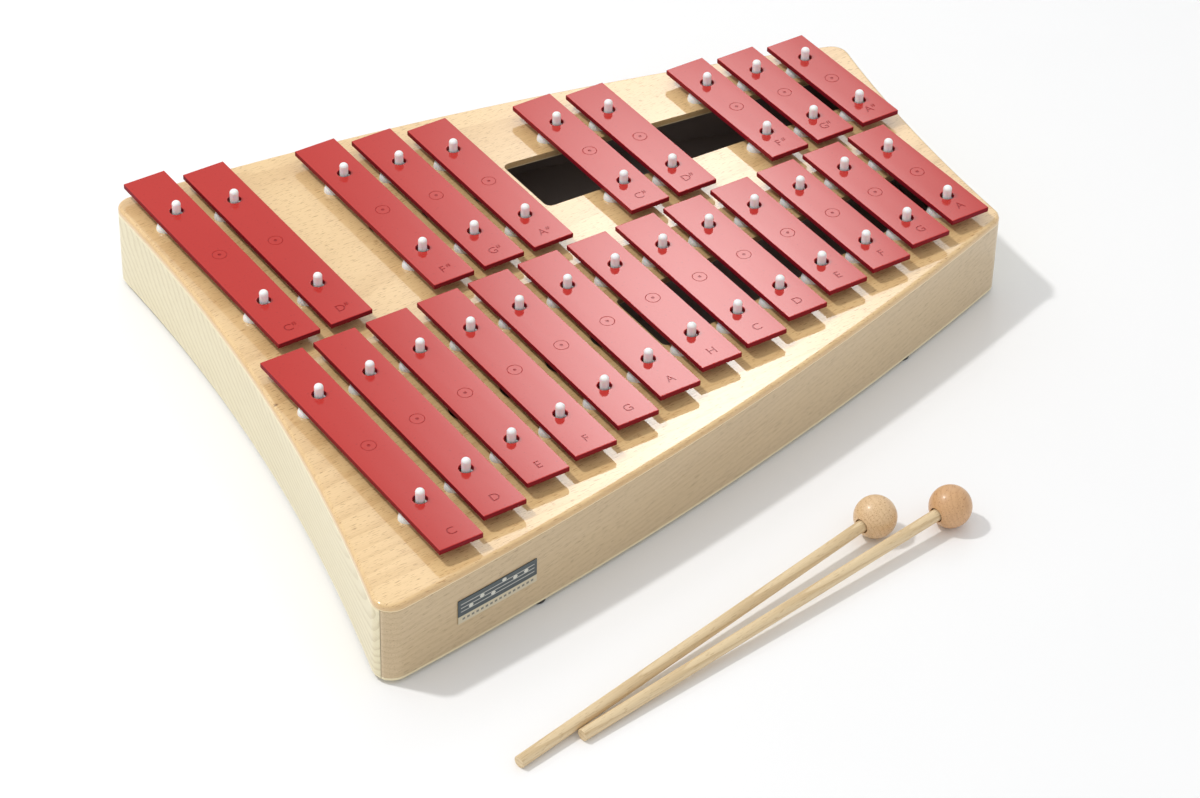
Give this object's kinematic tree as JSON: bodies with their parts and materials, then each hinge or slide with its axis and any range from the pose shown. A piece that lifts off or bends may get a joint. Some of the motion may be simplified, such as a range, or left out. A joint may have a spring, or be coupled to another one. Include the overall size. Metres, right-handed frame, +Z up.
{
  "type": "glockenspiel",
  "caption": "Alto glockenspiel: flat red steel bars in a natural and a sharp row, lifted on and off pins over a bowed wooden resonator case, with two ball mallets.",
  "frame": {"origin": "centre of the footprint of the case and the two mallets together, on the surface they stand on", "axes": "+X from the long bars to the short ones, +Y away from the player, +Z up"},
  "size_m": [0.4818, 0.4518, 0.0658],
  "materials": {
    "bar_enamel": "glossy red enamel on steel",
    "pin_plastic": "white moulded plastic",
    "top_wood": "beech, clear gloss lacquer",
    "wall_wood": "beech, satin lacquer",
    "end_sheet_wood": "pale bent sheet, satin lacquer",
    "base_wood": "plain board",
    "foot_rubber": "black rubber",
    "plate_print": "printed plate",
    "stick_wood": "plain dowel",
    "head_wood": "turned ball, thin lacquer"
  },
  "bodies": {
    "case": {"case_back": "wall_wood", "case_base": "base_wood", "case_front": "wall_wood", "case_side_left": "end_sheet_wood", "case_side_right": "end_sheet_wood", "case_top": "top_wood", "foot_1": "foot_rubber", "foot_2": "foot_rubber", "foot_3": "foot_rubber", "foot_4": "foot_rubber", "front_plate": "plate_print", "pins_naturals_back": "pin_plastic", "pins_naturals_front": "pin_plastic", "pins_sharps_back": "pin_plastic", "pins_sharps_front": "pin_plastic"},
    "bar_C1_body": {"bar_C1": "bar_enamel"},
    "bar_Cs1_body": {"bar_Cs1": "bar_enamel"},
    "bar_D1_body": {"bar_D1": "bar_enamel"},
    "bar_Ds1_body": {"bar_Ds1": "bar_enamel"},
    "bar_E1_body": {"bar_E1": "bar_enamel"},
    "bar_F1_body": {"bar_F1": "bar_enamel"},
    "bar_Fs1_body": {"bar_Fs1": "bar_enamel"},
    "bar_G1_body": {"bar_G1": "bar_enamel"},
    "bar_Gs1_body": {"bar_Gs1": "bar_enamel"},
    "bar_A1_body": {"bar_A1": "bar_enamel"},
    "bar_As1_body": {"bar_As1": "bar_enamel"},
    "bar_H1_body": {"bar_H1": "bar_enamel"},
    "bar_C2_body": {"bar_C2": "bar_enamel"},
    "bar_Cs2_body": {"bar_Cs2": "bar_enamel"},
    "bar_D2_body": {"bar_D2": "bar_enamel"},
    "bar_Ds2_body": {"bar_Ds2": "bar_enamel"},
    "bar_E2_body": {"bar_E2": "bar_enamel"},
    "bar_F2_body": {"bar_F2": "bar_enamel"},
    "bar_Fs2_body": {"bar_Fs2": "bar_enamel"},
    "bar_G2_body": {"bar_G2": "bar_enamel"},
    "bar_Gs2_body": {"bar_Gs2": "bar_enamel"},
    "bar_A2_body": {"bar_A2": "bar_enamel"},
    "bar_As2_body": {"bar_As2": "bar_enamel"},
    "mallet_1": {"mallet_1_stick": "stick_wood", "mallet_1_head": "head_wood"},
    "mallet_2": {"mallet_2_stick": "stick_wood", "mallet_2_head": "head_wood"}
  },
  "joints": [
    {"name": "lift_C1", "type": "slide", "parent": "case", "child": "bar_C1_body", "axis": [0, 0, 1], "range_m": [0, 0.025]},
    {"name": "lift_Cs1", "type": "slide", "parent": "case", "child": "bar_Cs1_body", "axis": [0, 0, 1], "range_m": [0, 0.025]},
    {"name": "lift_D1", "type": "slide", "parent": "case", "child": "bar_D1_body", "axis": [0, 0, 1], "range_m": [0, 0.025]},
    {"name": "lift_Ds1", "type": "slide", "parent": "case", "child": "bar_Ds1_body", "axis": [0, 0, 1], "range_m": [0, 0.025]},
    {"name": "lift_E1", "type": "slide", "parent": "case", "child": "bar_E1_body", "axis": [0, 0, 1], "range_m": [0, 0.025]},
    {"name": "lift_F1", "type": "slide", "parent": "case", "child": "bar_F1_body", "axis": [0, 0, 1], "range_m": [0, 0.025]},
    {"name": "lift_Fs1", "type": "slide", "parent": "case", "child": "bar_Fs1_body", "axis": [0, 0, 1], "range_m": [0, 0.025]},
    {"name": "lift_G1", "type": "slide", "parent": "case", "child": "bar_G1_body", "axis": [0, 0, 1], "range_m": [0, 0.025]},
    {"name": "lift_Gs1", "type": "slide", "parent": "case", "child": "bar_Gs1_body", "axis": [0, 0, 1], "range_m": [0, 0.025]},
    {"name": "lift_A1", "type": "slide", "parent": "case", "child": "bar_A1_body", "axis": [0, 0, 1], "range_m": [0, 0.025]},
    {"name": "lift_As1", "type": "slide", "parent": "case", "child": "bar_As1_body", "axis": [0, 0, 1], "range_m": [0, 0.025]},
    {"name": "lift_H1", "type": "slide", "parent": "case", "child": "bar_H1_body", "axis": [0, 0, 1], "range_m": [0, 0.025]},
    {"name": "lift_C2", "type": "slide", "parent": "case", "child": "bar_C2_body", "axis": [0, 0, 1], "range_m": [0, 0.025]},
    {"name": "lift_Cs2", "type": "slide", "parent": "case", "child": "bar_Cs2_body", "axis": [0, 0, 1], "range_m": [0, 0.025]},
    {"name": "lift_D2", "type": "slide", "parent": "case", "child": "bar_D2_body", "axis": [0, 0, 1], "range_m": [0, 0.025]},
    {"name": "lift_Ds2", "type": "slide", "parent": "case", "child": "bar_Ds2_body", "axis": [0, 0, 1], "range_m": [0, 0.025]},
    {"name": "lift_E2", "type": "slide", "parent": "case", "child": "bar_E2_body", "axis": [0, 0, 1], "range_m": [0, 0.025]},
    {"name": "lift_F2", "type": "slide", "parent": "case", "child": "bar_F2_body", "axis": [0, 0, 1], "range_m": [0, 0.025]},
    {"name": "lift_Fs2", "type": "slide", "parent": "case", "child": "bar_Fs2_body", "axis": [0, 0, 1], "range_m": [0, 0.025]},
    {"name": "lift_G2", "type": "slide", "parent": "case", "child": "bar_G2_body", "axis": [0, 0, 1], "range_m": [0, 0.025]},
    {"name": "lift_Gs2", "type": "slide", "parent": "case", "child": "bar_Gs2_body", "axis": [0, 0, 1], "range_m": [0, 0.025]},
    {"name": "lift_A2", "type": "slide", "parent": "case", "child": "bar_A2_body", "axis": [0, 0, 1], "range_m": [0, 0.025]},
    {"name": "lift_As2", "type": "slide", "parent": "case", "child": "bar_As2_body", "axis": [0, 0, 1], "range_m": [0, 0.025]},
    {"name": "pick_up_mallet_1", "type": "slide", "parent": "case", "child": "mallet_1", "axis": [0, 0, 1], "range_m": [0, 0.06]},
    {"name": "pick_up_mallet_2", "type": "slide", "parent": "case", "child": "mallet_2", "axis": [0, 0, 1], "range_m": [0, 0.06]}
  ]
}
